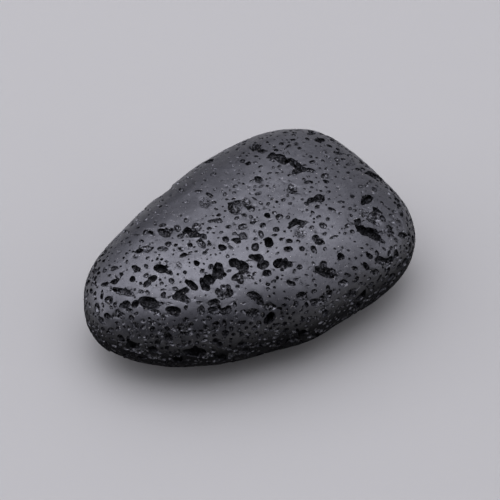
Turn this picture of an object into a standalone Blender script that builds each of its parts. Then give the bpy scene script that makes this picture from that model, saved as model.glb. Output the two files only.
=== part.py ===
"""Lava rock: a tumbled palm stone of black vesicular basalt, lying on its flat belly.

Shaped in millimetres and scaled to metres at the end: +X to the broad end, +Z up, the
table at z = 0 and the origin under the middle of the bounding box.
"""

import math

import bmesh
import bpy
import numpy as np
from mathutils import Matrix, Vector, noise

# Half widths of the stone seen from above, one every 22.5 degrees from +X towards +Y, mm
RIM = (27.4, 27.1, 26.4, 21.4, 17.9, 16.7, 17.8, 21.9,
       27.5, 26.4, 21.9, 18.8, 18.0, 19.2, 22.1, 27.4)
TOP = 11.0  # the crown above the widest level, mm
BOTTOM = 9.0  # the widest level above the lowest point of the full round form, mm
ROUNDNESS = 2.5  # exponent of the profile: 2 is an ellipse, more is boxier
BELLY = 0.2  # worn off the underside, which leaves the flat it rests on, mm
HALF_SIZES = Vector((28, 19, 11))  # about those of the stone: they spread the skin's faces evenly
GRID = 11  # cuts along each side of the cube that the skin is spun from

# Pits open to the upper side: x, y, length, width, turn of the length (degrees), depth
TOP_PITS = (
    (16.3, -7.8, 1.4, 0.9, 0, 0.8), (16.5, -9.6, 2.4, 1.4, -60, 1.5),
    (17.8, -10.3, 2.8, 1.7, -55, 1.7), (19.9, -4.0, 2.5, 1.5, 35, 1.3),
    (20.6, -6.2, 1.5, 0.9, -55, 1.0), (19.2, -7.2, 3.0, 2.6, -45, 0.8),
    (20.8, -7.9, 1.1, 0.8, 90, 0.7), (10.8, 7.9, 1.9, 1.1, -20, 1.1),
    (12.1, 6.6, 2.2, 1.0, -70, 1.1), (11.9, 4.9, 1.9, 1.0, 5, 1.0),
    (9.2, 9.5, 1.5, 1.1, 30, 0.9), (7.9, 12.9, 1.7, 1.2, 30, 1.0),
    (8.4, 10.9, 1.0, 0.9, 0, 0.8), (-0.95, 1.6, 2.0, 1.9, 0, 1.1),
    (1.3, 1.3, 2.3, 1.5, 90, 0.5), (1.3, -0.15, 1.1, 1.0, 0, 0.9),
    (-9.3, 0.05, 1.5, 1.3, 0, 1.2), (-8.9, -1.0, 1.5, 1.2, -60, 1.2),
    (-7.7, 0.1, 1.9, 1.4, 90, 0.5), (-10.7, -0.35, 1.1, 0.9, -60, 0.7),
    (-10.6, 1.4, 1.5, 1.1, 80, 0.7), (-12.7, 1.5, 2.1, 1.3, -70, 0.9),
    (-14.3, 2.8, 1.7, 0.9, -75, 0.9), (-15.2, 3.4, 1.2, 0.8, 60, 0.6),
    (-17.5, 0.35, 1.1, 1.0, 0, 0.8), (-16.2, -0.1, 1.7, 1.4, -50, 0.35),
    (-13.0, -0.9, 1.1, 1.1, 0, 0.7), (-14.3, -1.3, 1.3, 0.9, -45, 0.5),
    (-19.1, -2.4, 1.6, 1.0, -70, 0.8), (-15.8, -4.4, 2.2, 1.4, -40, 1.2),
    (-17.6, -5.4, 1.3, 1.1, -10, 1.0), (-18.6, -5.8, 1.1, 1.1, 0, 0.8),
    (-11.8, -4.0, 1.2, 0.8, -10, 0.7), (-10.5, -6.2, 1.2, 1.0, 90, 0.9),
    (-12.7, -9.0, 2.1, 1.2, -65, 1.3), (-10.9, -9.8, 1.9, 1.1, -70, 1.3),
    (-9.7, -9.4, 1.9, 1.2, -60, 1.4), (-15.4, -9.8, 1.3, 1.0, -30, 1.0),
    (-14.3, -9.6, 1.9, 1.0, -5, 1.0), (-14.4, -10.6, 1.6, 0.9, -45, 0.8),
    (-8.0, -8.9, 1.7, 1.6, 80, 1.2), (-7.5, -7.8, 1.3, 0.8, -35, 0.8),
    (-5.1, -8.5, 1.7, 1.3, -30, 1.2), (-4.3, -9.4, 1.8, 1.4, -50, 1.3),
    (-2.2, -8.7, 1.4, 0.9, -70, 0.9), (-1.4, -8.9, 1.6, 1.1, -50, 1.0),
    (-1.2, -10.4, 1.8, 1.2, 0, 0.8), (-1.1, -11.7, 1.6, 1.0, 0, 0.7),
    (1.4, -7.05, 1.7, 1.3, 90, 1.4), (-1.1, -7.1, 1.4, 1.1, 60, 0.9),
    (1.4, -11.1, 2.0, 1.6, -10, 1.3), (2.5, -11.6, 1.5, 1.2, -20, 0.9),
    (3.6, -9.3, 1.4, 0.9, -10, 0.8), (4.3, -8.0, 1.1, 0.8, -10, 0.7),
    (5.6, -9.75, 0.9, 0.8, 0, 0.7), (7.4, -10.4, 1.1, 0.9, 90, 0.8),
    (8.5, -8.8, 1.1, 0.8, 20, 0.7), (8.9, -9.6, 1.4, 0.9, -30, 0.9),
    (6.2, -5.2, 2.0, 1.3, 25, 1.1), (7.3, -5.5, 1.7, 1.0, -20, 1.0),
    (-5.8, -5.1, 1.4, 1.1, -60, 1.0), (-3.2, -4.9, 1.2, 1.0, -40, 0.9),
    (-2.0, -4.4, 1.6, 1.4, -20, 0.8), (-4.7, -4.1, 1.1, 1.1, 0, 0.7),
    (-1.4, -2.8, 1.2, 1.0, 0, 0.7), (3.3, -2.2, 1.0, 0.9, 90, 0.9),
    (0.9, -2.3, 2.0, 1.5, -15, 0.4), (3.3, -5.35, 1.1, 1.1, 0, 0.7),
    (0.8, -5.35, 1.4, 0.7, 80, 0.6), (4.75, -3.3, 1.1, 1.0, 0, 0.7),
    (1.75, -3.8, 1.1, 0.9, 30, 0.7), (12.3, -2.1, 1.5, 1.4, 0, 1.2),
    (10.9, -1.9, 1.3, 1.0, 10, 0.9), (13.2, -4.7, 1.4, 0.7, -55, 0.7),
    (9.3, 1.6, 2.4, 1.5, 80, 0.6), (13.8, 4.3, 1.4, 0.9, -50, 0.7),
    (15.3, 2.5, 1.2, 0.8, 20, 0.6), (14.9, 1.1, 1.1, 0.9, -40, 0.7),
    (20.7, 4.6, 1.4, 0.8, 20, 0.6), (20.3, 7.8, 1.3, 1.0, 0, 0.7),
    (17.9, 6.8, 1.1, 1.0, 30, 0.6), (11.1, -12.5, 1.3, 1.1, 0, 0.9),
    (8.0, -13.0, 1.4, 1.3, 0, 0.8), (7.9, -14.1, 3.2, 1.1, -22, 1.1),
    (-10.5, -12.8, 1.9, 0.9, -20, 0.8), (-10.9, -13.6, 1.7, 1.0, -10, 0.9),
    (-9.2, -14.3, 2.0, 0.8, -5, 0.8), (-4.6, -13.8, 2.2, 0.8, -20, 0.8),
    (-3.8, -14.6, 1.6, 0.9, -45, 0.9), (-5.3, -15.8, 1.9, 0.7, -5, 0.8),
    (2.9, -16.0, 1.9, 0.8, -5, 0.8), (1.8, -14.2, 1.4, 0.7, -30, 0.6),
    (-5.6, -10.7, 1.9, 0.8, 5, 0.8), (-5.5, -11.4, 1.1, 0.9, -70, 0.8),
    (-16.6, -11.2, 1.9, 1.1, -30, 1.0), (-19.4, -8.5, 2.7, 1.6, -45, 1.1),
    (-21.4, -7.5, 1.2, 1.1, -40, 0.8), (-22.8, -6.7, 1.4, 0.9, -20, 0.8),
    (-23.7, -7.6, 1.2, 0.8, -50, 0.8), (-22.5, -4.7, 3.4, 0.9, -52, 0.7),
    (-22.8, -2.5, 1.2, 0.9, -45, 0.8), (-24.6, -4.5, 1.6, 1.0, -60, 0.6),
    (-12.7, -12.9, 1.1, 1.0, 0, 0.8), (-16.4, -13.4, 1.3, 0.8, -25, 0.7),
    (-18.4, -13.4, 1.6, 0.7, -40, 0.7), (-3.4, 5.4, 1.6, 0.8, -75, 0.7),
    (-7.0, 6.2, 1.2, 0.8, -35, 0.5), (15.9, -13.1, 1.2, 0.8, -20, 0.8),
    (17.4, -13.7, 1.8, 0.7, 5, 0.8), (23.2, -10.4, 2.0, 0.8, 15, 0.8),
    (14.8, -14.2, 1.1, 0.7, -30, 0.7), (10.1, -15.6, 1.7, 0.7, 0, 0.7),
)
LISTED = 0.93  # the list covers the upper side out to this share of the rim
BACK_Y, BACK_SHARE = 9, 0.8  # but on the +Y side beyond BACK_Y it stops at this share
OTHER_PITS = 60
OTHER_WIDTHS = (0.9, 1.1, 1.3, 1.4, 1.8)  # mm
OTHER_DEPTH = 0.7  # of the width
OTHER_GAP = 1.2  # least stone between two of the other pits, mm
SEED = 11
BELLY_FREE = 4.0  # no pit opens this near the middle of the belly, mm
ENDS_Y, ENDS_X = 6, 10  # nor at the rim this near the two axes, so the size stays, mm

FINE = 1.6  # pits this wide and wider are ellipsoids, the rest six-sided cups, mm
DEEP = 0.45  # a pit deeper than this share of its width is undercut, a shallower one is a dish
UNDERCUT, DISH = 0.65, 1.5  # half height of the ellipsoid, as a share of the pit's depth
CUP_FLOOR, CUP_BRIM, CUP_ABOVE = 0.55, 1.2, 0.4  # radii at its ends, and how far it stands out
LUMPS, LUMP_RATE = 0.2, 1.3  # how uneven the walls are
MM = 0.001


def clear_scene():
    for obj in list(bpy.data.objects):
        bpy.data.objects.remove(obj, do_unlink=True)


def rim(turn):
    """Half width of the widest level towards turn: the listed radii joined by a smooth wave."""
    waves = np.fft.rfft(RIM) / len(RIM)
    radius = waves[0].real
    for k in range(1, len(waves)):
        share = 1 if k == len(RIM) // 2 else 2
        radius += share * (waves[k].real * math.cos(k * turn) - waves[k].imag * math.sin(k * turn))
    return radius


def fullness(p):
    """1 on the skin of the full round form, less inside."""
    side = math.hypot(p.x, p.y) / rim(math.atan2(p.y, p.x))
    height = p.z - BOTTOM
    up = abs(height) / (TOP if height > 0 else BOTTOM)
    return side**ROUNDNESS + up**ROUNDNESS


def skin_along(direction):
    """The point of the skin in this direction from the middle of the widest level."""
    centre = Vector((0, 0, BOTTOM))
    return centre + direction * fullness(centre + direction) ** (-1 / ROUNDNESS)


def skin_over(x, y):
    """The point of the upper skin above (x, y)."""
    side = math.hypot(x, y) / rim(math.atan2(y, x))
    return Vector((x, y, BOTTOM + TOP * (1 - side**ROUNDNESS) ** (1 / ROUNDNESS)))


def normal_at(p):
    step = 0.01
    slope = [fullness(p + step * axis) - fullness(p - step * axis) for axis in Matrix.Identity(3)]
    return Vector(slope).normalized()


def worn(p):
    """The belly flattened, and the whole stone set on the table."""
    return Vector((p.x, p.y, max(p.z, BELLY) - BELLY))


def skin_towards(direction):
    """The point of the skin in a direction of a ball that is stretched to the stone's size."""
    return skin_along(direction * HALF_SIZES)


def skin_mesh():
    """The whole stone without its pits."""
    bm = bmesh.new()
    bmesh.ops.create_cube(bm, size=2)
    bmesh.ops.subdivide_edges(bm, edges=bm.edges[:], cuts=GRID, use_grid_fill=True)
    for vert in bm.verts:
        even = Vector([math.tan(c * math.pi / 4) for c in vert.co])
        vert.co = worn(skin_towards(even.normalized()))
    return bm


def hollow_axes(out, turn):
    """Columns: along the hollow's length, across it, and out of the stone."""
    along = Vector((math.cos(turn), math.sin(turn), 0))
    along = (along - out * along.dot(out)).normalized()
    return Matrix((along, out.cross(along), out)).transposed()


def hollow(place, out, length, width, turn, depth, number):
    """A lumpy hollow under the skin at place, length x width at its mouth."""
    bm = bmesh.new()
    if width >= FINE:
        half = depth * (UNDERCUT if depth > DEEP * width else DISH)
        sink = depth - half
        flare = 1 / math.sqrt(1 - (sink / half) ** 2)
        size = Vector((length / 2 * flare, width / 2 * flare, half))
        bmesh.ops.create_icosphere(bm, subdivisions=2, radius=1)
    else:
        tall = 1 + CUP_ABOVE
        sink = (tall / 2 - CUP_ABOVE) * depth
        size = Vector((length / 2, width / 2, depth))
        bmesh.ops.create_cone(
            bm, cap_ends=True, segments=6, radius1=CUP_FLOOR, radius2=CUP_BRIM, depth=tall
        )
    axes = hollow_axes(out, turn)
    for vert in bm.verts:
        lump = 1 + LUMPS * noise.noise(vert.co * LUMP_RATE + Vector((7 * number, 2 * number, 0)))
        vert.co = place - out * sink + axes @ (vert.co * size * lump)
    return bm


def side_share(p):
    """How far out towards the rim, from 0 to 1."""
    return math.hypot(p.x, p.y) / rim(math.atan2(p.y, p.x))


def is_listed(place):
    """Whether the list already covers this part of the skin."""
    limit = BACK_SHARE if place.y > BACK_Y else LISTED
    return place.z > BOTTOM and side_share(place) < limit


def keeps_clear(place, length):
    """Whether a pit here leaves the belly flat and the overall size alone."""
    on_belly = place.z < BOTTOM and math.hypot(place.x, place.y) < BELLY_FREE + length / 2
    near_axis = abs(place.y) < ENDS_Y or abs(place.x) < ENDS_X
    return not on_belly and not (side_share(place) > 0.99 and near_axis)


def other_pits(listed):
    """Pits where the list has none: the flanks and the underside, clear of each other."""
    rng = np.random.default_rng(SEED)
    taken = [(pit[0], pit[2]) for pit in listed]
    pits = []
    while len(pits) < OTHER_PITS:
        place = skin_towards(Vector(rng.normal(size=3)).normalized())
        width = float(rng.choice(OTHER_WIDTHS))
        length = width * rng.uniform(1.1, 1.7)
        turn = rng.uniform(0, math.pi)
        crowded = any((place - p).length < (length + other) / 2 + OTHER_GAP for p, other in taken)
        if is_listed(place) or crowded or not keeps_clear(place, length):
            continue
        taken.append((place, length))
        pits.append((place, normal_at(place), length, width, turn, OTHER_DEPTH * width))
    return pits


def add_object(name, bm, collection):
    mesh = bpy.data.meshes.new(name)
    bmesh.ops.recalc_face_normals(bm, faces=bm.faces)
    bm.to_mesh(mesh)
    bm.free()
    obj = bpy.data.objects.new(name, mesh)
    collection.objects.link(obj)
    return obj


def middle_of(bm):
    """The middle of the bounding box, seen from above."""
    xs = [v.co.x for v in bm.verts]
    ys = [v.co.y for v in bm.verts]
    return Vector(((min(xs) + max(xs)) / 2, (min(ys) + max(ys)) / 2, 0))


def basalt():
    material = bpy.data.materials.new("basalt")
    material.use_nodes = True
    shader = material.node_tree.nodes["Principled BSDF"]
    shader.inputs["Base Color"].default_value = (0.035, 0.035, 0.04, 1)
    shader.inputs["Roughness"].default_value = 0.5
    material.diffuse_color = (0.035, 0.035, 0.04, 1)
    return material


clear_scene()
scene = bpy.context.scene
parts = bpy.data.collections.new("lava_stone")
cutters = bpy.data.collections.new("cutters")
cutters.hide_render = True
scene.collection.children.link(parts)
scene.collection.children.link(cutters)

stone = skin_mesh()
to_metres = Matrix.Scale(MM, 4) @ Matrix.Translation(-middle_of(stone))

pits = []
for x, y, length, width, turn, depth in TOP_PITS:
    place = skin_over(x, y)
    pits.append((place, normal_at(place), length, width, math.radians(turn), depth))
pits += other_pits(pits)

for number, pit in enumerate(pits):
    shape = hollow(*pit, number)
    bmesh.ops.transform(
        shape, matrix=to_metres @ Matrix.Translation((0, 0, -BELLY)), verts=shape.verts
    )
    cutter = add_object(f"pit_{number:03d}", shape, cutters)
    cutter.hide_render = True
    cutter.display_type = "WIRE"

bmesh.ops.transform(stone, matrix=to_metres, verts=stone.verts)
rock = add_object("lava_rock", stone, parts)
rock.data.materials.append(basalt())
pitting = rock.modifiers.new("pits", "BOOLEAN")
pitting.operation = "DIFFERENCE"
pitting.solver = "EXACT"
pitting.operand_type = "COLLECTION"
pitting.collection = cutters
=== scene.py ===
import collections
import math

import bmesh
import bpy
import numpy as np
from mathutils import Matrix, Vector


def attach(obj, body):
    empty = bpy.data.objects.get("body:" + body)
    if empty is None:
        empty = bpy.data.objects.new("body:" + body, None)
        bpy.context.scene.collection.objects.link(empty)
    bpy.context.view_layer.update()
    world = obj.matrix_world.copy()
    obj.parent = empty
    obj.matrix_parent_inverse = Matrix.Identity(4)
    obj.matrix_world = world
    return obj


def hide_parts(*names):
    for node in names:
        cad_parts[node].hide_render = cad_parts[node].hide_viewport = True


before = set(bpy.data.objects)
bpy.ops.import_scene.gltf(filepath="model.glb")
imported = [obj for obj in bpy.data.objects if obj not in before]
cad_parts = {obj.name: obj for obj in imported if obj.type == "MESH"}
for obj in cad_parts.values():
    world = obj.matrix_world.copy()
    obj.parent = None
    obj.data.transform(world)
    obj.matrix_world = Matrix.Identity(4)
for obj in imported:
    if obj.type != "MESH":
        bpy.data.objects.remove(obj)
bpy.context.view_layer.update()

# The stone is one tumbled piece of black vesicular basalt. Tumbling wore its skin smooth and
# cut the gas bubbles in the rock open, so the skin is full of pits with sharp mouths. It is
# shaped in millimetres and scaled at the end, like the solid it stands for.
RIM = (27.4, 27.1, 26.4, 21.4, 17.9, 16.7, 17.8, 21.9,
       27.5, 26.4, 21.9, 18.8, 18.0, 19.2, 22.1, 27.4)
TOP, BOTTOM, ROUNDNESS, BELLY = 11.0, 9.0, 2.5, 0.2
HALF_SIZES = np.array((28.0, 19.0, 11.0))
CENTRE = np.array((0.0, 0.0, BOTTOM))
SLOPE_STEP = 0.01
MM = 0.001


def rim(turn):
    """Half width of the stone at its widest level, towards turn."""
    waves = np.fft.rfft(RIM) / len(RIM)
    radius = waves[0].real
    for k in range(1, len(waves)):
        share = 1 if k == len(RIM) // 2 else 2
        radius = radius + share * (waves[k].real * np.cos(k * turn) - waves[k].imag * np.sin(k * turn))
    return radius


def side_share(p):
    """0 on the upright middle line, 1 at the rim."""
    return np.hypot(p[..., 0], p[..., 1]) / rim(np.arctan2(p[..., 1], p[..., 0]))


def fullness(p):
    """1 on the skin, less inside."""
    height = p[..., 2] - BOTTOM
    up = np.abs(height) / np.where(height > 0, TOP, BOTTOM)
    return side_share(p) ** ROUNDNESS + up**ROUNDNESS


def skin_towards(direction):
    """The point of the skin that lies this way from the centre."""
    reach = direction * HALF_SIZES
    return CENTRE + reach * fullness(CENTRE + reach)[..., None] ** (-1 / ROUNDNESS)


def skin_over(x, y):
    """The point of the upper skin above x, y."""
    side = side_share(np.array((x, y)))
    return np.array((x, y, BOTTOM + TOP * (1 - side**ROUNDNESS) ** (1 / ROUNDNESS)))


def normal_at(p):
    step = SLOPE_STEP * np.eye(3)
    slope = fullness(p + step) - fullness(p - step)
    return slope / np.linalg.norm(slope)


# Pits over 0.8 mm: x, y, length, width, turn of the length (degrees), depth
MAIN_PITS = (
    (16.3, -7.8, 1.4, 0.9, 0, 0.8), (16.5, -9.6, 2.4, 1.4, -60, 1.5),
    (17.8, -10.3, 2.8, 1.7, -55, 1.7), (19.9, -4.0, 2.5, 1.5, 35, 1.3),
    (20.6, -6.2, 1.5, 0.9, -55, 1.0), (19.2, -7.2, 3.0, 2.6, -45, 0.5),
    (20.8, -7.9, 1.1, 0.8, 90, 0.7), (10.6, 8.2, 2.2, 1.7, -40, 1.3),
    (12.1, 6.4, 3.0, 1.3, -75, 1.4), (11.9, 4.9, 2.3, 1.0, 5, 1.0),
    (9.3, 9.4, 1.6, 1.3, 30, 1.0), (7.9, 13.0, 2.2, 1.7, 60, 1.1),
    (8.4, 11.1, 1.4, 1.1, -60, 0.9), (-0.95, 1.35, 2.4, 2.1, 80, 0.75),
    (1.3, 1.3, 2.3, 1.5, 90, 0.5), (1.3, -0.15, 1.1, 1.0, 0, 0.9),
    (-9.3, 0.05, 1.5, 1.3, 0, 1.2), (-8.9, -1.0, 1.5, 1.2, -60, 1.2),
    (-7.7, 0.1, 1.9, 1.4, 90, 0.5), (-10.7, -0.35, 1.1, 0.9, -60, 0.7),
    (-10.6, 1.4, 1.5, 1.1, 80, 0.7), (-12.7, 1.5, 2.1, 1.3, -70, 0.9),
    (-14.3, 2.8, 1.7, 0.9, -75, 0.9), (-15.2, 3.4, 1.2, 0.8, 60, 0.6),
    (-17.5, 0.35, 1.1, 1.0, 0, 0.8), (-16.2, -0.1, 1.7, 1.4, -50, 0.35),
    (-13.0, -0.9, 1.1, 1.1, 0, 0.7), (-14.3, -1.3, 1.3, 0.9, -45, 0.5),
    (-19.1, -2.4, 1.6, 1.0, -70, 0.8), (-15.8, -4.4, 2.2, 1.4, -40, 1.2),
    (-17.6, -5.4, 1.3, 1.1, -10, 1.0), (-18.6, -5.8, 1.1, 1.1, 0, 0.8),
    (-11.8, -4.0, 1.2, 0.8, -10, 0.7), (-10.5, -6.2, 1.2, 1.0, 90, 0.9),
    (-12.7, -9.0, 2.1, 1.2, -65, 1.3), (-10.9, -9.8, 1.9, 1.1, -70, 1.3),
    (-9.7, -9.4, 1.9, 1.2, -60, 1.4), (-15.4, -9.8, 1.3, 1.0, -30, 1.0),
    (-14.3, -9.6, 1.9, 1.0, -5, 1.0), (-14.4, -10.6, 1.6, 0.9, -45, 0.8),
    (-8.0, -8.9, 1.7, 1.6, 80, 1.2), (-7.5, -7.8, 1.3, 0.8, -35, 0.8),
    (-5.1, -8.5, 1.7, 1.3, -30, 1.2), (-4.3, -9.4, 1.8, 1.4, -50, 1.3),
    (-2.2, -8.7, 1.4, 0.9, -70, 0.9), (-1.4, -8.9, 1.6, 1.1, -50, 1.0),
    (-1.2, -10.4, 1.8, 1.2, 0, 0.8), (-1.1, -11.7, 1.6, 1.0, 0, 0.7),
    (1.4, -7.05, 1.7, 1.3, 90, 1.4), (-1.1, -7.1, 1.4, 1.1, 60, 0.9),
    (1.4, -11.1, 2.0, 1.6, -10, 1.3), (2.5, -11.6, 1.5, 1.2, -20, 0.9),
    (3.6, -9.3, 1.4, 0.9, -10, 0.8), (4.3, -8.0, 1.1, 0.8, -10, 0.7),
    (5.6, -9.75, 0.9, 0.8, 0, 0.7), (7.4, -10.4, 1.1, 0.9, 90, 0.8),
    (8.5, -8.8, 1.1, 0.8, 20, 0.7), (8.9, -9.6, 1.4, 0.9, -30, 0.9),
    (6.2, -5.2, 2.0, 1.3, 25, 1.1), (7.3, -5.5, 1.7, 1.0, -20, 1.0),
    (-5.8, -5.1, 1.4, 1.1, -60, 1.0), (-3.2, -4.9, 1.2, 1.0, -40, 0.9),
    (-2.0, -4.4, 1.6, 1.4, -20, 0.8), (-4.7, -4.1, 1.1, 1.1, 0, 0.7),
    (-1.4, -2.8, 1.2, 1.0, 0, 0.7), (3.3, -2.2, 1.0, 0.9, 90, 0.9),
    (0.9, -2.3, 2.0, 1.5, -15, 0.4), (3.3, -5.35, 1.1, 1.1, 0, 0.7),
    (0.8, -5.35, 1.4, 0.7, 80, 0.6), (4.75, -3.3, 1.1, 1.0, 0, 0.7),
    (1.75, -3.8, 1.1, 0.9, 30, 0.7), (12.3, -2.1, 1.5, 1.4, 0, 1.2),
    (10.9, -1.9, 1.3, 1.0, 10, 0.9), (13.2, -4.7, 1.4, 0.7, -55, 0.7),
    (9.3, 1.6, 2.4, 1.5, 80, 0.6), (13.8, 4.3, 1.4, 0.9, -50, 0.7),
    (15.4, 2.4, 1.4, 1.0, 20, 0.7), (14.9, 1.1, 1.1, 0.9, -40, 0.7),
    (20.7, 4.6, 1.4, 0.8, 20, 0.6), (20.3, 7.8, 1.3, 1.0, 0, 0.7),
    (17.9, 6.8, 1.1, 1.0, 30, 0.6), (11.1, -12.5, 1.3, 1.1, 0, 0.9),
    (8.0, -13.0, 1.4, 1.3, 0, 0.8), (7.9, -14.1, 3.2, 1.1, -22, 1.1),
    (-10.5, -12.8, 1.9, 0.9, -20, 0.8), (-10.9, -13.6, 1.7, 1.0, -10, 0.9),
    (-9.2, -14.3, 2.0, 0.8, -5, 0.8), (-4.6, -13.8, 2.2, 0.8, -20, 0.8),
    (-3.8, -14.6, 1.6, 0.9, -45, 0.9), (-5.3, -15.8, 1.9, 0.7, -5, 0.8),
    (2.9, -16.0, 1.9, 0.8, -5, 0.8), (1.8, -14.2, 1.4, 0.7, -30, 0.6),
    (-5.6, -10.7, 1.9, 0.8, 5, 0.8), (-5.5, -11.4, 1.1, 0.9, -70, 0.8),
    (-16.6, -11.2, 1.9, 1.1, -30, 1.0), (-19.4, -8.5, 2.7, 1.6, -45, 1.1),
    (-21.4, -7.5, 1.2, 1.1, -40, 0.8), (-22.8, -6.7, 1.4, 0.9, -20, 0.8),
    (-23.7, -7.6, 1.2, 0.8, -50, 0.8), (-22.5, -4.7, 3.4, 0.9, -52, 0.7),
    (-22.8, -2.5, 1.2, 0.9, -45, 0.8), (-24.6, -4.5, 1.6, 1.0, -60, 0.6),
    (-12.7, -12.9, 1.1, 1.0, 0, 0.8), (-16.4, -13.4, 1.3, 0.8, -25, 0.7),
    (-18.4, -13.4, 1.6, 0.7, -40, 0.7), (-3.4, 5.4, 1.6, 0.8, -75, 0.7),
    (-7.0, 6.2, 1.2, 0.8, -35, 0.5), (15.9, -13.1, 1.2, 0.8, -20, 0.8),
    (17.4, -13.7, 1.8, 0.7, 5, 0.8), (23.2, -10.4, 2.0, 0.8, 15, 0.8),
    (14.8, -14.2, 1.1, 0.7, -30, 0.7), (10.1, -15.6, 1.7, 0.7, 0, 0.7),
)
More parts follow.
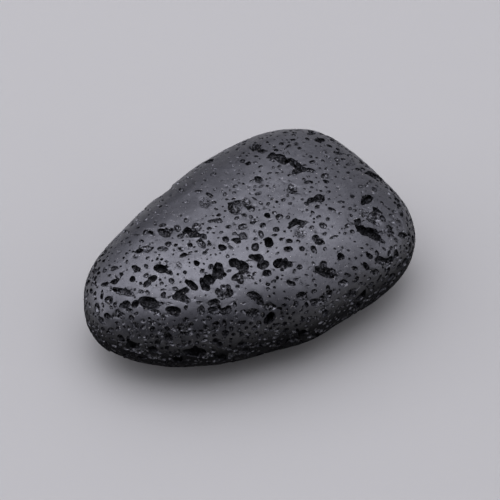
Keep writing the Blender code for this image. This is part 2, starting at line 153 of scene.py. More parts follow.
# The finer pits among them: x, y, length, width, turn
FINE_PITS = (
    (-6.75, 0.35, 0.9, 0.6, 90), (-7.75, -2.2, 1.3, 1.0, 90), (-8.6, -3.3, 1.9, 1.1, -70),
    (-9.7, -3.35, 0.5, 0.45, 0), (-10.7, -4.1, 0.8, 0.5, 20), (-6.1, -1.05, 0.9, 0.8, 0),
    (-5.4, 0.1, 0.9, 0.7, -20), (-4.3, -0.25, 1.5, 1.0, -30), (-4.6, 1.05, 0.6, 0.5, 0),
    (-3.8, 0.8, 0.8, 0.7, 0), (-3.3, -2.05, 0.9, 0.7, -20), (-2.3, -1.9, 0.9, 0.6, 90),
    (-2.3, -2.95, 0.4, 0.4, 0), (-4.8, -2.6, 0.8, 0.5, 0), (-3.0, -3.6, 0.7, 0.6, 0),
    (-8.7, -5.1, 0.9, 0.8, 0), (-8.2, -4.75, 0.8, 0.4, 20), (-8.0, -5.8, 0.4, 0.4, 0),
    (-6.55, -6.05, 0.5, 0.4, 0), (-7.4, -4.0, 0.7, 0.7, 0), (-4.6, -5.7, 0.8, 0.5, -60),
    (-3.5, -6.1, 1.0, 0.6, 0), (-5.65, -6.9, 0.9, 0.75, -60), (-0.4, -5.75, 1.0, 0.7, -10),
    (-1.3, -5.8, 0.4, 0.35, 0), (-1.9, -5.8, 0.3, 0.25, 0), (2.5, -6.3, 1.0, 0.6, -10),
    (3.2, -7.3, 0.7, 0.6, 0), (3.8, -7.3, 0.4, 0.3, 0), (4.35, -6.2, 0.6, 0.5, 0),
    (4.5, -2.2, 0.7, 0.6, 0), (4.9, -1.1, 0.7, 0.6, 90), (3.4, -0.7, 1.0, 0.6, -10),
    (2.5, -0.8, 0.6, 0.6, 0), (2.5, 0.05, 0.4, 0.4, 0), (-0.2, -0.8, 1.0, 0.8, -40),
    (2.7, 1.75, 1.3, 0.5, -60), (3.8, 2.5, 1.0, 0.6, 0), (3.9, 5.4, 0.9, 0.5, 10),
    (3.0, 4.4, 0.7, 0.6, 60), (5.0, 5.4, 1.1, 1.0, 90), (7.2, 5.8, 0.8, 0.5, 0),
    (4.8, 3.7, 0.9, 0.4, 10), (6.2, 4.1, 0.7, 0.5, 90), (6.8, 2.95, 0.9, 0.6, 90),
    (8.25, 4.1, 0.5, 0.4, 0), (5.1, 1.35, 0.6, 0.5, -15), (7.9, 1.6, 0.5, 0.5, 0),
    (5.7, -0.25, 0.7, 0.6, 0), (6.8, -0.25, 0.9, 0.8, 20), (6.65, -1.85, 0.45, 0.35, 0),
    (6.65, -2.45, 0.5, 0.4, 0), (5.9, -3.9, 0.8, 0.7, 20), (7.05, -3.7, 0.3, 0.3, 0),
    (7.55, -4.15, 0.4, 0.3, 0), (8.3, -3.15, 0.5, 0.45, 90), (8.85, -1.3, 0.6, 0.5, 0),
    (9.7, -1.3, 0.6, 0.5, 0), (8.8, -6.9, 1.0, 0.7, 10), (8.0, -6.5, 0.9, 0.5, -50),
    (7.1, -6.4, 1.4, 0.6, -20), (7.3, -7.9, 1.0, 0.5, 20), (-9.7, 5.3, 0.6, 0.5, 0),
    (-9.75, 4.4, 0.7, 0.5, -10), (-6.4, 1.25, 0.7, 0.3, -20), (-16.4, 1.85, 0.9, 0.6, -60),
    (-17.9, 4.3, 0.6, 0.5, 0), (-18.0, 3.0, 0.7, 0.5, 0), (-16.4, 3.6, 1.2, 0.5, -45),
    (-11.4, 1.6, 0.8, 0.7, 0), (-15.3, 0.5, 0.7, 0.5, 20), (-14.8, 1.0, 0.6, 0.4, -60),
    (-16.8, -1.75, 0.8, 0.6, 0), (-13.9, -1.6, 1.0, 0.8, -60), (-10.65, -4.1, 0.7, 0.6, 20),
    (-15.2, -5.3, 1.0, 0.7, -70), (-14.3, -4.95, 0.5, 0.35, -70), (-13.85, -5.5, 0.3, 0.3, 0),
    (-11.5, -5.7, 0.5, 0.45, 90), (-9.55, -5.7, 0.5, 0.4, -40), (-18.2, -4.4, 0.8, 0.6, -20),
    (-19.5, -5.2, 0.8, 0.6, -70), (-14.8, -5.9, 1.1, 0.7, -70), (-15.8, -6.35, 0.4, 0.3, -30),
    (-20.0, -6.3, 0.9, 0.5, -50), (-19.1, -7.0, 1.0, 0.6, -60), (-17.5, -6.8, 0.8, 0.6, -70),
    (-16.6, -6.9, 0.8, 0.6, -40), (-15.1, -7.2, 1.1, 0.8, -60), (-16.3, -7.5, 0.55, 0.4, 0),
    (-16.8, -7.9, 0.9, 0.35, -20), (-13.9, -6.7, 0.6, 0.5, 0), (-12.8, -6.9, 0.7, 0.65, 0),
    (-11.7, -7.1, 0.6, 0.4, 0), (-11.1, -7.1, 0.7, 0.5, -60), (-10.4, -7.8, 1.0, 0.7, 20),
    (-14.0, -8.0, 0.5, 0.4, 0), (-13.3, -7.6, 0.7, 0.4, -10), (-17.1, -8.6, 0.9, 0.9, 0),
    (-15.2, -8.6, 1.0, 0.8, -30), (-22.1, -2.1, 1.8, 0.5, -75), (-21.4, -2.0, 0.8, 0.7, -50),
    (-24.1, -1.8, 1.5, 0.6, -40), (-26.15, -2.6, 0.6, 0.5, -45), (-23.2, 0.55, 0.9, 0.8, 0),
    (15.4, 4.3, 0.6, 0.55, 60), (13.4, 5.7, 0.6, 0.5, 0), (18.9, 4.7, 0.8, 0.6, -30),
    (12.8, 3.0, 0.5, 0.5, 0), (16.1, 1.3, 0.5, 0.5, 0), (20.3, 1.7, 0.8, 0.4, 60),
    (20.2, 0.1, 0.6, 0.5, 60), (12.1, 0.55, 0.9, 0.7, 0), (13.3, -0.5, 0.6, 0.5, 20),
    (14.3, -1.1, 0.8, 0.5, 0), (9.9, -2.3, 0.8, 0.7, -60), (11.2, -3.6, 1.0, 0.8, 20),
    (10.1, -4.35, 0.8, 0.7, -60), (9.4, -4.9, 0.4, 0.3, 0), (17.3, -1.6, 0.6, 0.35, 60),
    (15.7, -2.3, 0.8, 0.4, -70), (15.3, -3.7, 1.1, 0.5, -10), (15.0, -2.6, 0.5, 0.4, -50),
    (19.8, -2.3, 1.0, 0.6, 50), (21.5, -2.6, 0.9, 0.6, 30), (10.5, -7.1, 1.4, 1.1, -20),
    (13.2, -8.5, 0.4, 0.4, 0), (23.6, -6.5, 1.3, 0.7, 20), (22.5, -7.3, 0.9, 0.6, 30),
    (25.3, -6.0, 1.2, 0.6, 50), (21.0, -9.5, 1.2, 0.7, 20), (21.1, -10.2, 1.4, 0.6, 0),
    (21.0, -12.0, 0.9, 0.5, 30), (22.4, -12.4, 1.2, 0.4, 25), (18.8, -12.4, 0.6, 0.4, -30),
    (16.6, -12.3, 0.8, 0.4, 0), (14.5, -12.9, 0.5, 0.4, 10), (13.4, -13.1, 0.7, 0.5, 0),
    (12.3, -13.1, 0.5, 0.5, 0), (10.0, -13.2, 0.6, 0.3, 0), (10.7, -11.2, 0.5, 0.4, 10),
    (12.0, -11.3, 0.6, 0.5, -80), (12.7, -11.9, 0.5, 0.4, -30), (13.4, -12.0, 0.5, 0.25, 0),
    (14.4, -11.8, 0.6, 0.25, -5), (15.1, -12.0, 0.7, 0.35, -20), (11.5, -9.45, 1.4, 0.4, 0),
    (13.7, -10.3, 0.4, 0.3, 0), (14.3, -10.9, 0.5, 0.3, -20), (14.0, -13.8, 0.4, 0.3, 0),
    (12.6, -14.8, 0.6, 0.3, -5), (11.2, -14.8, 1.1, 0.45, -15), (10.3, -14.3, 0.9, 0.3, -5),
    (11.4, -13.7, 0.5, 0.25, -10), (8.4, -11.8, 0.6, 0.5, 0), (9.0, -12.4, 0.7, 0.3, 10),
    (-3.2, -8.8, 0.8, 0.3, -5), (4.2, -8.85, 0.4, 0.3, 0), (1.6, -9.4, 0.8, 0.4, 10),
    (6.8, -9.3, 0.6, 0.3, -15), (1.0, -12.8, 0.7, 0.35, -20), (1.4, -13.7, 0.7, 0.4, 0),
    (2.8, -14.0, 0.9, 0.4, -10), (3.5, -13.9, 0.7, 0.3, -10), (3.4, -14.7, 0.8, 0.3, -20),
    (-1.2, -14.6, 0.5, 0.4, 0), (-2.55, -12.4, 0.6, 0.5, 40), (-3.9, -11.3, 0.8, 0.6, -15),
    (-3.0, -11.15, 0.8, 0.4, 15), (-6.2, -12.0, 0.9, 0.6, -15), (-5.2, -12.7, 0.5, 0.4, 0),
    (-7.1, -12.7, 0.5, 0.4, 0), (-7.4, -13.3, 0.5, 0.3, 20), (-6.2, -14.4, 1.0, 0.4, 0),
    (-6.7, -15.2, 1.1, 0.4, -10), (4.3, -15.2, 1.3, 0.4, 0), (5.5, -15.4, 0.6, 0.5, 0),
    (5.5, -14.7, 0.8, 0.4, 5), (0.4, -15.8, 1.2, 0.4, -30), (5.5, -13.0, 1.2, 0.6, 20),
    (5.1, -11.8, 0.3, 0.3, 0), (1.5, -16.6, 1.1, 0.7, 30), (16.2, -14.7, 1.4, 0.5, -5),
    (-23.9, -8.6, 0.7, 0.5, -50), (-19.6, -9.5, 0.8, 0.5, -30), (-19.0, -10.3, 1.2, 0.7, -40),
    (-18.3, -11.3, 1.0, 0.7, -30), (-21.2, -10.1, 1.1, 0.5, -45), (-16.9, -9.95, 0.6, 0.3, -20),
    (-9.5, -8.5, 0.3, 0.3, 0), (-16.5, -9.3, 0.6, 0.5, 0), (-14.6, -11.7, 0.7, 0.7, 0),
    (-12.6, -11.9, 0.9, 0.4, -20), (-11.6, -12.4, 0.6, 0.5, -20), (-17.0, -12.4, 0.6, 0.3, -10),
    (-17.3, -13.0, 1.0, 0.5, -10), (-19.3, -12.4, 1.2, 0.5, -30), (-13.3, -13.7, 1.0, 0.3, -10),
    (-13.5, -14.1, 0.6, 0.3, 0), (-21.2, -11.4, 0.9, 0.4, -30), (-15.3, -13.0, 1.1, 0.6, -20),
    (-22.7, -8.8, 1.1, 0.9, -50), (-24.8, -6.9, 1.2, 0.7, -25), (-22.0, -2.3, 1.8, 0.6, -75),
    (-10.0, 9.4, 0.9, 0.8, 70), (-10.7, 7.8, 0.7, 0.6, 60), (-6.0, 7.5, 0.6, 0.5, 0),
    (-4.4, 7.3, 1.0, 0.6, -30), (-3.6, 2.1, 0.8, 0.5, -80), (-3.35, 3.5, 1.1, 0.8, -60),
    (-0.3, 7.7, 0.8, 0.5, -20), (0.1, 11.3, 1.4, 0.6, -60), (2.6, 7.9, 0.8, 0.6, -10),
    (3.4, 8.6, 1.0, 0.4, 20), (3.3, 7.3, 1.2, 0.4, 60), (6.2, 9.0, 0.9, 0.6, -40),
    (6.0, 6.8, 0.5, 0.4, 0), (10.6, 11.5, 0.6, 0.5, 0), (12.9, 10.8, 1.5, 0.7, 30),
    (14.9, 9.2, 0.6, 0.5, 0), (15.2, 7.4, 0.6, 0.6, 0), (14.1, 7.7, 0.6, 0.5, -40),
    (16.1, 6.9, 0.6, 0.5, 0), (16.8, 12.1, 1.0, 0.6, 80), (18.2, 1.3, 1.0, 0.7, 40),
    (16.4, 3.9, 1.0, 0.7, -20), (14.8, 6.1, 1.0, 0.7, 10), (-8.7, -7.6, 1.0, 0.7, 10),
)
# Scars where a bubble was only just opened: x, y, length, width, turn
DISHES = (
    (-8.4, 2.4, 2.0, 1.4, 80), (-18.4, -0.5, 1.5, 0.9, -80), (-11.5, -2.7, 1.4, 1.1, -45),
    (-14.6, -3.9, 0.9, 0.8, 90), (-13.2, -5.2, 1.7, 0.9, -75), (-20.1, 2.3, 1.0, 0.5, -60),
    (16.6, -3.5, 1.2, 0.7, -60), (18.1, -4.6, 0.9, 0.8, 0), (9.5, -11.9, 0.7, 0.4, 20),
    (3.0, -3.2, 1.5, 1.0, 0), (6.8, -7.2, 2.2, 1.9, 0), (-4.8, 4.8, 4.6, 2.2, 85),
    (-8.6, 7.1, 1.2, 0.4, -85), (-1.7, 8.0, 1.2, 0.3, -60), (16.8, 8.3, 1.0, 0.5, 10),
    (16.5, 10.4, 1.0, 0.5, 45), (10.9, 6.3, 2.2, 2.0, 0),
    (19.9, -9.9, 2.4, 1.3, -20), (21.6, -11.2, 1.6, 0.9, -30), (18.9, -11.4, 1.4, 1.0, -40),
    (22.4, -5.3, 2.0, 1.2, -50), (23.4, -8.2, 2.0, 1.2, -60), (21.7, -8.5, 1.6, 1.1, 30),
    (24.0, -3.6, 1.8, 1.0, -70), (22.9, -9.9, 1.6, 0.9, -30), (13.2, -6.9, 1.0, 0.5, -40),
    (-8.2, -12.2, 2.6, 1.6, -15), (-19.2, -9.9, 2.2, 1.3, -45),
)
# How near the rim the lists reach, and how near it they reach at the back
LISTED, BACK_Y, BACK_SHARE = 0.93, 9, 0.8
# The larger pits of the flanks and the underside: number, widths, depth by width, least gap
OTHER_PITS, OTHER_WIDTHS, OTHER_DEPTH, OTHER_GAP = 60, (0.9, 1.1, 1.3, 1.4, 1.8), 0.7, 1.2
OTHER_LENGTHS, OTHER_SEED = (1.1, 1.7), 11
# The belly's flat and the outermost points of the rim stay whole
BELLY_FREE, ENDS_Y, ENDS_X, OUTERMOST = 4.0, 6, 10, 0.99
# Mouths are cut a little over size, and past this slope they are stretched no more down the skin
GROWN, STEEPEST = 1.06, 0.4
# Depth by width of the finer pits, and depth of the scars
FINE_SEED, FINE_DEPTHS = 8, (0.45, 0.85)
DISH_DEPTH, DISH_DEPTH_BY_WIDTH = 0.22, 0.2


def is_listed(place):
    """Whether the lists cover this place."""
    limit = BACK_SHARE if place[1] > BACK_Y else LISTED
    return place[2] > BOTTOM and side_share(place) < limit


def keeps_clear(place, length):
    """Whether a pit here leaves the belly's flat and the stone's full size as they are."""
    on_belly = place[2] < BOTTOM and math.hypot(place[0], place[1]) < BELLY_FREE + length / 2
    near_axis = abs(place[1]) < ENDS_Y or abs(place[0]) < ENDS_X
    return not on_belly and not (side_share(place) > OUTERMOST and near_axis)


def other_pits(listed):
    """The pits of the flanks and the underside, clear of each other, as in the solid."""
    rng = np.random.default_rng(OTHER_SEED)
    taken = list(listed)
    pits = []
    while len(pits) < OTHER_PITS:
        draw = rng.normal(size=3)
        place = skin_towards(draw / np.linalg.norm(draw))
        width = float(rng.choice(OTHER_WIDTHS))
        length = width * rng.uniform(*OTHER_LENGTHS)
        turn = rng.uniform(0, math.pi)
        crowded = any(
            np.linalg.norm(place - p) < (length + other) / 2 + OTHER_GAP for p, other in taken
        )
        if is_listed(place) or crowded or not keeps_clear(place, length):
            continue
        taken.append((place, length))
        out = normal_at(place)
        pits.append((place, out, *mouth_axes(out, length, width, turn), OTHER_DEPTH * width))
    return pits


def mouth_axes(out, length, width, turn):
    """Half axes of a pit's mouth in the plane of the skin, its length towards turn."""
    along = np.array((math.cos(turn), math.sin(turn), 0.0))
    along -= out * (along @ out)
    along /= np.linalg.norm(along)
    return along * length / 2, np.cross(out, along) * width / 2


def placed(x, y, length, width, turn, depth):
    """A listed pit, whose length and width are those seen from straight above."""
    place = skin_over(x, y)
    out = normal_at(place)
    turn = math.radians(turn)
    steep = max(out[2], STEEPEST)
    halves = []
    for angle, size in ((turn, length * GROWN), (turn + math.pi / 2, width * GROWN)):
        flat = np.array((math.cos(angle), math.sin(angle), 0.0))
        halves.append((flat - np.array((0, 0, flat @ out / steep))) * size / 2)
    return place, out, *halves, depth * GROWN


main_pits = [placed(*pit) for pit in MAIN_PITS]
main_pits += other_pits([(skin_over(*pit[:2]), pit[2]) for pit in MAIN_PITS])
fine_rng = np.random.default_rng(FINE_SEED)
fine_pits = [placed(*pit, pit[3] * fine_rng.uniform(*FINE_DEPTHS)) for pit in FINE_PITS]
fine_pits += [placed(*pit, min(DISH_DEPTH, DISH_DEPTH_BY_WIDTH * pit[3])) for pit in DISHES]

# Where tumbling wore the pits almost away: x, y, radius of the patch
CALM = (
    (-4.0, 9.0, 7.0), (-14.0, 6.5, 5.0), (13.0, -6.8, 2.6), (17.0, -0.5, 2.2), (-9.0, -11.8, 2.0),
)
CALM_WIDTH, CALM_DEPTHS = 1.4, (0.3, 0.6)
# How many more pits, and the least and greatest width of those on the crown, the flanks and below
SCATTER, SCATTER_SEED, TRIES = 2400, 5, 60000
CROWN_WIDTHS, FLANK_WIDTHS, UNDER_WIDTHS = (0.34, 0.9), (0.55, 2.1), (0.55, 1.3)
SCATTER_LENGTHS, SCATTER_DEPTHS = (1.0, 1.7), (0.55, 1.0)
FLANK_FROM, FLANK_TO = 15.5, 3.0
# Wide pits are rarer than narrow ones
MOST_RARE, RARENESS = 0.99, -0.5
# Pits of the flanks may run into each other, and elsewhere some are left out
MERGE, LEAST_GAP = 0.2, 0.03
CROWN_SHARE, UNDER_SHARE = 0.6, 0.3


def scattered_pits(taken):
    """Pits drawn at random, clear of the listed ones: small on the crown, larger elsewhere."""
    rng = np.random.default_rng(SCATTER_SEED)
    places = np.array([pit[0] for pit in taken])
    reaches = np.array([max(np.linalg.norm(pit[2]), np.linalg.norm(pit[3])) for pit in taken])
    pits = []
    for _ in range(TRIES):
        if len(pits) == SCATTER:
            break
        draw = rng.normal(size=3)
        place = skin_towards(draw / np.linalg.norm(draw))
        rarity, luck = rng.uniform(size=2)
        on_flank = FLANK_TO < place[2] < FLANK_FROM
        above = place[2] > BOTTOM
        least, most = FLANK_WIDTHS if on_flank else CROWN_WIDTHS
        if place[2] < FLANK_TO:
            least, most = UNDER_WIDTHS
        elif not on_flank and not is_listed(place):
            most = FLANK_WIDTHS[1]
        calm = above and any(math.hypot(place[0] - x, place[1] - y) < r for x, y, r in CALM)
        width = min(most, least * (1 - MOST_RARE * rarity) ** RARENESS)
        width *= CALM_WIDTH if calm else 1
        length = width * rng.uniform(*SCATTER_LENGTHS)
        gap = np.linalg.norm(places - place, axis=1) - reaches - length / 2
        if gap.min() < (-MERGE if on_flank else LEAST_GAP):
            continue
        if luck > (1 if on_flank else CROWN_SHARE if above else UNDER_SHARE):
            continue
        places = np.vstack([places, place])
        reaches = np.append(reaches, length / 2)
        turn = rng.uniform(0, math.pi)
        out = normal_at(place)
        depth = width * rng.uniform(*(CALM_DEPTHS if calm else SCATTER_DEPTHS))
        pits.append((place, out, *mouth_axes(out, length, width, turn), depth))
    return pits


fine_pits += scattered_pits(main_pits + fine_pits)


def ball(level):
    """Points and faces of a ball of radius 1."""
    bm = bmesh.new()
    bmesh.ops.create_icosphere(bm, subdivisions=level, radius=1)
    points = np.array([vert.co for vert in bm.verts])
    faces = np.array([[vert.index for vert in face.verts] for face in bm.faces])
    bm.free()
    return points, faces


# A larger bubble is a finer ball: the half lengths from which each next level is used
FINER_FROM = (0.38, 0.9, 2.0)
BALLS = [ball(level) for level in range(1, len(FINER_FROM) + 2)]
# Height and rate of the lumps of a bubble's wall, and of the finer lumps on the larger ones
LUMPS, SMALL_LUMP, SMALL_LUMP_WAVES = ((0.14, 2.2), (0.09, 5)), (0.04, 11), 7
Bubble = collections.namedtuple("Bubble", "points faces centre reach")


def ripple(points, rate, rng, count=5):
    """Smooth noise from a few plane waves, mostly between -1 and 1."""
    total = np.zeros(len(points))
    for _ in range(count):
        wave = rng.normal(size=3)
        wave *= rate * rng.uniform(0.7, 1.3) / np.linalg.norm(wave)
        total += np.sin(points @ wave + rng.uniform(0, 2 * math.pi))
    return total / math.sqrt(count)


def bubble(centre, axes, rng):
    """One gas bubble with a lumpy wall."""
    largest = np.linalg.norm(axes, axis=0).max()
    finer = sum(largest >= size for size in FINER_FROM)
    unit, faces = BALLS[finer]
    lump = np.ones(len(unit))
    for height, rate in LUMPS:
        lump += height * ripple(unit, rate, rng)
    if finer > 1:
        height, rate = SMALL_LUMP
        lump += height * ripple(unit, rate, rng, SMALL_LUMP_WAVES)
    points = centre + (unit * lump[:, None]) @ axes.T
    return Bubble(points, faces, centre, np.linalg.norm(points - centre, axis=1).max())


# Half height of a bubble by the depth of its pit, where the pit is deep, middling or shallow
UNDERCUT, BOWL, DISH = 0.65, 1.0, 1.5
DEEP, SHALLOW = 0.65, 0.3
# Pits under this depth by width, or under this width, are one bubble
PLAIN_DEPTH, PLAIN_WIDTH = 0.12, 0.7
# The small bubbles: how far their number strays, how far out they sit, how unround they are
COUNTS, OUTWARD, UNROUND = (0.6, 1.4), (0.85, 1.05), (0.7, 1.35)
BUBBLE_SEED = 23


def bubbles_of(place, out, long_half, wide_half, depth, rng):
    """The bubbles that a pit is made of: the main one, and smaller ones that burst into it."""
    length, width = 2 * np.linalg.norm(long_half), 2 * np.linalg.norm(wide_half)
    share = depth / width
    half = depth * (UNDERCUT if share > DEEP else BOWL if share > SHALLOW else DISH)
    sink = depth - half
    flare = 1 / math.sqrt(1 - (sink / half) ** 2)
    axes = np.array((long_half * flare, wide_half * flare, out * half)).T
    centre = place - out * sink
    made = [bubble(centre, axes, rng)]
    if depth < PLAIN_DEPTH * width or width < PLAIN_WIDTH:
        return made
    # (how many, lowest and highest place on the wall, smallest and largest size)
    around_mouth = 1 + 1.2 * length, 0.1, 0.6, 0.1, 0.24
    down_below = 1.6 * length * width, -1.0, 0.2, 0.14, 0.3
    for count, low, high, smallest, largest in (around_mouth, down_below):
        for _ in range(int(count * rng.uniform(*COUNTS))):
            angle = rng.uniform(0, 2 * math.pi)
            level = rng.uniform(low, high)
            aim = np.array((math.cos(angle), math.sin(angle), level))
            aim[:2] *= math.sqrt(1 - level * level)
            size = width * rng.uniform(smallest, largest)
            spot = centre + axes @ (aim * rng.uniform(*OUTWARD))
            made.append(bubble(spot, np.diag(size * rng.uniform(*UNROUND, 3)), rng))
    return made


bubble_rng = np.random.default_rng(BUBBLE_SEED)
bubbles = []
for pit in main_pits + fine_pits:
    bubbles += bubbles_of(*pit, bubble_rng)


def apart(bubbles):
    """The bubbles in groups whose members don't touch each other."""
    groups = []
    for one in sorted(bubbles, key=lambda b: -b.reach):
        for group in groups:
            gaps = np.linalg.norm(np.array([b.centre for b in group]) - one.centre, axis=1)
            if (gaps > one.reach + np.array([b.reach for b in group])).all():
                group.append(one)
                break
        else:
            groups.append([one])
    return groups


def add_mesh(name, points, faces):
    mesh = bpy.data.meshes.new(name)
    mesh.from_pydata(points.tolist(), [], faces.tolist())
    obj = bpy.data.objects.new(name, mesh)
    bpy.context.scene.collection.objects.link(obj)
    return obj


def apply_modifiers(obj):
    graph = bpy.context.evaluated_depsgraph_get()
    mesh = bpy.data.meshes.new_from_object(obj.evaluated_get(graph))
    obj.modifiers.clear()
    obj.data = mesh


def waves(rate, count, rng):
    """Plane waves of about this rate, for a smooth unevenness."""
    ways = rng.normal(size=(count, 3))
    ways *= rate * rng.uniform(0.7, 1.3, (count, 1)) / np.linalg.norm(ways, axis=1)[:, None]
    return ways, rng.uniform(0, 2 * math.pi, count)


# Height, rate and number of the waves that make the skin uneven, which sits a little low
SWELLS = ((0.07, 0.5, 9), (0.035, 1.3, 12))
SWELL_SEED, SWELL_SUNK, SWELL_FADE = 3, 0.08, 2
swell_rng = np.random.default_rng(SWELL_SEED)
swells = [(height, waves(rate, count, swell_rng)) for height, rate, count in SWELLS]


def swell(points):
    """How far the skin stands out from the smooth form."""
    total = np.full(len(points), -SWELL_SUNK)
    for height, (ways, starts) in swells:
        total += height * np.sin(points @ ways.T + starts).sum(1) / math.sqrt(len(starts) / 2)
    return total * np.clip((points[:, 2] - BELLY) / SWELL_FADE, 0, 1)


# Cuts across each side of the cube that is drawn out to the skin
SKIN_CUTS = 40


def skin_mesh():
    """Points and faces of the uneven skin before the bubbles are opened."""
    bm = bmesh.new()
    bmesh.ops.create_cube(bm, size=2)
    bmesh.ops.subdivide_edges(bm, edges=bm.edges[:], cuts=SKIN_CUTS, use_grid_fill=True)
    bmesh.ops.triangulate(bm, faces=bm.faces)
    bmesh.ops.recalc_face_normals(bm, faces=bm.faces)
    corners = np.array([vert.co for vert in bm.verts])
    faces = np.array([[vert.index for vert in face.verts] for face in bm.faces])
    bm.free()
    even = np.tan(corners * math.pi / 4)
    points = skin_towards(even / np.linalg.norm(even, axis=1)[:, None])
    out = (points - CENTRE) / np.linalg.norm(points - CENTRE, axis=1)[:, None]
    points += out * swell(points)[:, None]
    points[:, 2] = np.maximum(points[:, 2], BELLY)
    return points, faces


points, faces = skin_mesh()
middle = (points.min(0) + points.max(0)) / 2
middle[2] = BELLY
stone = add_mesh("lava_stone", points, faces)
for group in apart(bubbles):
    offsets = np.cumsum([0] + [len(b.points) for b in group])
    cutter = add_mesh(
        "bubbles",
        np.vstack([b.points for b in group]),
        np.vstack([b.faces + start for b, start in zip(group, offsets)]),
    )
    opened = stone.modifiers.new("bubbles", "BOOLEAN")
    opened.operation = "DIFFERENCE"
    opened.solver = "MANIFOLD"
    opened.object = cutter
    apply_modifiers(stone)
    bpy.data.objects.remove(cutter)

# Tolerances, in millimetres: the belly's flat, its edge, and what still counts as skin
FLAT, FLAT_EDGE, SKIN_WITHIN = 0.001, 0.03, 0.02
NORMAL_STEP = 0.02


def stands_out(points):
    """How far points lie outside the uneven skin, less than 0 in a pit."""
    outer = CENTRE + (points - CENTRE) * fullness(points)[:, None] ** (-1 / ROUNDNESS)
    reach = np.linalg.norm(points - CENTRE, axis=1) - np.linalg.norm(outer - CENTRE, axis=1)
    return np.where(points[:, 2] > BELLY + FLAT, reach - swell(outer), 0)


def skin_normals(points):
    steps = NORMAL_STEP * np.eye(3)
    normals = np.array([stands_out(points + step) - stands_out(points - step) for step in steps]).T
    on_belly = points[:, 2] < BELLY + FLAT_EDGE
    normals[on_belly] = (0, 0, -1)
    return normals / np.linalg.norm(normals, axis=1)[:, None]


# The shortest edge that is kept, in millimetres
SHORT = 0.11


def hangs(face):
    """Whether a face holds on by too few of its sides."""
    uses = [len(edge.link_faces) for edge in face.edges]
    return min(uses) == 1 and (max(uses) > 2 or uses.count(1) > 1)


def drop_flaps(bm):
    """Walls between pits that the cleaning pressed flat, taken out whole."""
    twins = {}
    for face in bm.faces:
        twins.setdefault(frozenset(vert.index for vert in face.verts), []).append(face)
    flaps = [face for pair in twins.values() if len(pair) > 1 for face in pair]
    while flaps:
        bmesh.ops.delete(bm, geom=flaps, context="FACES")
        flaps = [face for face in bm.faces if hangs(face)]


def clean(mesh):
    """Takes out the slivers that the cuts left, flat walls and loose crumbs."""
    bm = bmesh.new()
    bm.from_mesh(mesh)
    bmesh.ops.triangulate(bm, faces=bm.faces)
    bmesh.ops.dissolve_degenerate(bm, dist=SHORT, edges=bm.edges)
    bmesh.ops.triangulate(bm, faces=bm.faces)
    bm.verts.index_update()
    drop_flaps(bm)
    bm.verts.index_update()
    ends = np.array([(edge.verts[0].index, edge.verts[1].index) for edge in bm.edges])
    body = np.arange(len(bm.verts))
    while True:
        lowest = body.copy()
        np.minimum.at(lowest, ends[:, 0], body[ends[:, 1]])
        np.minimum.at(lowest, ends[:, 1], body[ends[:, 0]])
        lowest = lowest[lowest]
        if (lowest == body).all():
            break
        body = lowest
    main_body = np.bincount(body).argmax()
    crumbs = [vert for vert in bm.verts if body[vert.index] != main_body]
    bmesh.ops.delete(bm, geom=crumbs, context="VERTS")
    bm.to_mesh(mesh)
    bm.free()


def array_of(collection, name, width):
    """One property of all the items, a row for each."""
    values = np.empty(len(collection) * width)
    collection.foreach_get(name, values)
    return values.reshape(-1, width)


# Mouths keep a sharp edge, and the skin round them is shaded as if it were whole
SHARP, SMOOTH_FACING = math.radians(38), 0.9
rock = stone.data
clean(rock)
points = array_of(rock.vertices, "co", 3)
out = stands_out(points)
layer = rock.attributes.new("pit_depth", "FLOAT", "POINT")
layer.data.foreach_set("value", -out.astype(np.float32))
rock.shade_smooth()
rock.set_sharp_from_angle(angle=SHARP)
corners = np.array([poly.vertices[:] for poly in rock.polygons])
smooth = skin_normals(points)
on_skin = (np.abs(out) < SKIN_WITHIN)[corners].all(1)
facing = np.einsum("ij,ij->i", array_of(rock.polygons, "normal", 3), smooth[corners[:, 0]])
on_skin &= facing > SMOOTH_FACING
normals = array_of(rock.corner_normals, "vector", 3).reshape(-1, 3, 3)
normals[on_skin] = smooth[corners[on_skin]]
rock.normals_split_custom_set(normals.reshape(-1, 3))
rock.transform(Matrix.Scale(MM, 4) @ Matrix.Translation(-Vector(middle)))


class Socket:
    """A shader value that takes part in Python arithmetic."""

    def __init__(self, tree, link):
        self.tree = tree
        self.link = link

    def node(self, kind, settings=None, **inputs):
        """A node of this kind. An input is given by name, or by number as i0, i1 and so on."""
        made = self.tree.nodes.new(kind)
        for name, value in (settings or {}).items():
            setattr(made, name, value)
        for name, value in inputs.items():
            key = int(name[1:]) if name[1:].isdigit() else name.replace("_", " ")
            if isinstance(value, Socket):
                self.tree.links.new(value.link, made.inputs[key])
            else:
                made.inputs[key].default_value = value
        return made

    def maths(self, operation, first, second):
        node = self.node("ShaderNodeMath", {"operation": operation}, i0=first, i1=second)
        return Socket(self.tree, node.outputs[0])

    def __add__(self, other):
        return self.maths("ADD", self, other)

    __radd__ = __add__

    def __mul__(self, other):
        return self.maths("MULTIPLY", self, other)

    __rmul__ = __mul__

    def __sub__(self, other):
        return self.maths("SUBTRACT", self, other)

    def __rsub__(self, other):
        return self.maths("SUBTRACT", other, self)

    def ramp(self, low, high, start=0.0, end=1.0):
        """Goes smoothly from start, where the value is low, to end, where it is high."""
        node = self.node(
            "ShaderNodeMapRange", {"interpolation_type": "SMOOTHSTEP"},
            Value=self, From_Min=low, From_Max=high, To_Min=start, To_Max=end,
        )
        return Socket(self.tree, node.outputs[0])


# Handling has polished the crown and the flanks stay dull; the flanks also get painted shade: heights
# of the change, in millimetres
DULL_AND_SHADED_BELOW, BRIGHT_ABOVE = 8.5, 14.0
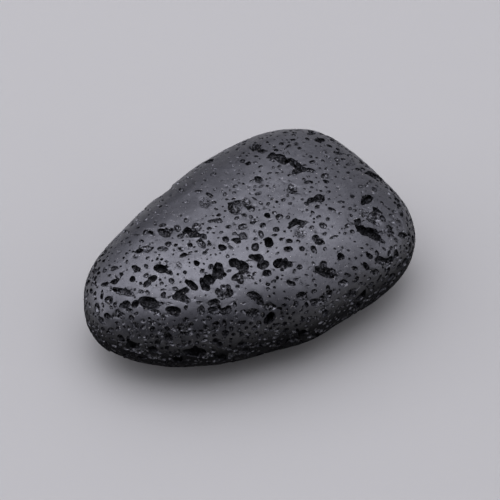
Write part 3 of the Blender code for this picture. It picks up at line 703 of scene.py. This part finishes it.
# Near the table the pits lose their glints: a painted shade darkens their colour and coat there
DARK_BELOW, LIT_ABOVE = 2.5, 9.0
# The darkest colour is glassy rock and also painted shade; the grey is mottling and also painted
# glints
GLASS_AND_SHADE, GRIT_AND_GLINT, WORN_SKIN = (0.0025, 0.0025, 0.0027), (0.055, 0.055, 0.058), (0.006, 0.006, 0.007)
CRYSTAL = (0.45, 0.42, 0.36)
SHEEN = (0.95, 0.96, 1, 1)
RELIEF = 0.00002


def basalt():
    """Worn black skin with a soft sheen, and pits with rough walls that are glassy in places."""
    material = bpy.data.materials.new("worn_basalt")
    material.use_nodes = True
    tree = material.node_tree
    shader = tree.nodes["Principled BSDF"]
    root = Socket(tree, None)
    place = Socket(tree, root.node("ShaderNodeTexCoord").outputs["Object"])
    height = Socket(tree, root.node("ShaderNodeSeparateXYZ", Vector=place).outputs["Z"])
    in_pit = root.node("ShaderNodeAttribute", {"attribute_name": "pit_depth"})
    depth = Socket(tree, in_pit.outputs["Fac"])

    def grain(scale, detail=3):
        node = root.node(
            "ShaderNodeTexNoise", Vector=place, Scale=scale, Detail=detail, Roughness=0.6,
        )
        return Socket(tree, node.outputs["Fac"])

    def mixed(share, first, second):
        first = first if isinstance(first, Socket) else (*first, 1)
        node = root.node("ShaderNodeMix", {"data_type": "RGBA"}, i0=share, i6=first, i7=(*second, 1))
        return Socket(tree, node.outputs[2])

    skin = depth.ramp(0.05, 0.20, 1.0, 0.0)
    wall = 1 - skin
    crown = height.ramp(DULL_AND_SHADED_BELOW * MM, BRIGHT_ABOVE * MM)
    flank = 1 - crown
    # Painted shade, darker towards the table
    lit = height.ramp(DARK_BELOW * MM, LIT_ABOVE * MM, 0.05, 1.0)

    worn = grain(700).ramp(0.35, 0.65, 0.80, 1.0) * grain(4500, 1).ramp(0.30, 0.40, 0.5, 1.0)
    glassy = (grain(3400, 4) + flank * 0.06).ramp(0.46, 0.62, 0.03, 1.3)
    glassy *= depth.ramp(0.3, 1.2, 1.0, 0.15) * (1 - flank * depth.ramp(0.2, 0.7, 0.0, 0.85))
    polish = skin * crown * worn + wall * glassy * lit
    tree.links.new(polish.link, shader.inputs["Coat Weight"])

    # Grey mottling of the pit walls, partly standing in for lit floors and glints, a painted
    # highlight; it fades deeper down, a painted shade
    grit_and_glint = grain(2600, 5).ramp(0.50, 0.62) * depth.ramp(0.5, 1.5, 1.0, 0.3)
    # Painted glints: the mouths of the flank pits get the grey in places
    lip_glints = grain(1300, 2).ramp(0.46, 0.60) * depth.ramp(0.06, 0.2) * depth.ramp(0.3, 0.7, 1.0, 0.0)
    flecks = grain(5200, 1).ramp(0.74, 0.78)
    # Painted shade: the grey fades near the table and on the flanks
    colour = mixed(wall * grit_and_glint * lit * (1 - 0.7 * flank), GLASS_AND_SHADE, GRIT_AND_GLINT)
    # Painted shade: towards the flanks the skin's colour fades to the darkest colour
    colour = mixed(skin * crown.ramp(0.0, 1.0, 0.1, 1.0), colour, WORN_SKIN)
    colour = mixed(flank * lit * lip_glints, colour, GRIT_AND_GLINT)
    colour = mixed(crown * flecks, colour, CRYSTAL)
    tree.links.new(colour.link, shader.inputs["Base Color"])

    relief = grain(2200) * 0.6 + grain(750) * 2.0 + wall * grain(2600, 5) * 14.0
    bump = root.node("ShaderNodeBump", Strength=1.0, Distance=RELIEF, Height=relief)
    tree.links.new(bump.outputs[0], shader.inputs["Normal"])
    shader.inputs["Roughness"].default_value = 0.6
    shader.inputs["Specular IOR Level"].default_value = 0.04
    shader.inputs["Coat IOR"].default_value = 1.7
    shader.inputs["Coat Roughness"].default_value = 0.4
    shader.inputs["Coat Tint"].default_value = SHEEN
    return material


stone.data.materials.clear()
stone.data.materials.append(basalt())
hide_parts("lava_rock")
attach(stone, "root")


# The table is a plain matt board with a pale finish. The stone lies loose on it. It is big
# enough that its edges stay out of view.
BOARD, BOARD_COLOUR, BOARD_ROUGHNESS = 3.0, (0.25, 0.246, 0.222, 1), 0.85


def pale_board():
    board = add_mesh(
        "table",
        BOARD / 2 * np.array(((-1, -1, 0), (1, -1, 0), (1, 1, 0), (-1, 1, 0)), float),
        np.array(((0, 1, 2, 3),)),
    )
    material = bpy.data.materials.new("pale_board")
    material.use_nodes = True
    shader = material.node_tree.nodes["Principled BSDF"]
    shader.inputs["Base Color"].default_value = BOARD_COLOUR
    shader.inputs["Roughness"].default_value = BOARD_ROUGHNESS
    board.data.materials.append(material)


pale_board()


# The camera looks down on the stone from its front and a little from its narrow end, close up
# with a long lens. It is aimed near the stone's middle.
CAMERA_TURN, CAMERA_HEIGHT = math.radians(-24), math.radians(50)
CAMERA_DISTANCE, NEAREST = 0.350, 0.01
SENSOR, LENS = 36, 157.5
LOOK_AT = Vector((1.18, -0.10, 9.8 + BELLY))


def towards(turn, height):
    """Direction from the stone, with turn 0 to the front and positive to the right."""
    flat = math.cos(height)
    return Vector((math.sin(turn) * flat, -math.cos(turn) * flat, math.sin(height)))


camera = bpy.data.objects.new("camera", bpy.data.cameras.new("camera"))
camera.data.sensor_width = SENSOR
camera.data.lens = LENS
camera.data.clip_start = NEAREST
aim = (LOOK_AT - Vector(middle)) * MM
back = towards(CAMERA_TURN, CAMERA_HEIGHT)
camera.location = aim + back * CAMERA_DISTANCE
camera.rotation_euler = back.to_track_quat("Z", "Y").to_euler()
bpy.context.scene.collection.objects.link(camera)
bpy.context.scene.camera = camera


# Soft boxes hang round the stone in a dim room, each a square of cloth a metre away. They are
# stronger on the left and behind: turn from the camera and height in degrees, power in watts
SOFT_BOXES = (
    (90, 75, 4.1), (180, 75, 2.2), (270, 75, 4.5),
    (0, 55, 0.6), (60, 55, 0.9), (120, 55, 1.0), (180, 55, 3.1), (240, 55, 3.1), (300, 55, 1.8),
    (60, 28, 1.5), (120, 28, 1.2), (180, 28, 0.7), (240, 28, 1.9), (300, 28, 0.7),
    (90, 10, 2.9), (160, 10, 0.8), (270, 10, 6.0),
)
LAMP_COLOUR, BOX_SIZE, BOX_DISTANCE = (0.98, 0.98, 1.15), 0.8, 1.0
ROOM_GLOW = 0.01
for turn, height, power in SOFT_BOXES:
    softbox = bpy.data.objects.new("softbox", bpy.data.lights.new("softbox", "AREA"))
    softbox.data.shape = "SQUARE"
    softbox.data.size = BOX_SIZE
    softbox.data.energy = power
    softbox.data.color = LAMP_COLOUR
    lamp = towards(CAMERA_TURN + math.radians(turn), math.radians(height))
    softbox.location = aim + lamp * BOX_DISTANCE
    softbox.rotation_euler = lamp.to_track_quat("Z", "Y").to_euler()
    bpy.context.scene.collection.objects.link(softbox)

room = bpy.data.worlds.new("room")
room.use_nodes = True
room.node_tree.nodes["Background"].inputs["Color"].default_value = (*LAMP_COLOUR, 1)
room.node_tree.nodes["Background"].inputs["Strength"].default_value = ROOM_GLOW
bpy.context.scene.world = room
bpy.context.scene.view_settings.view_transform = "Standard"
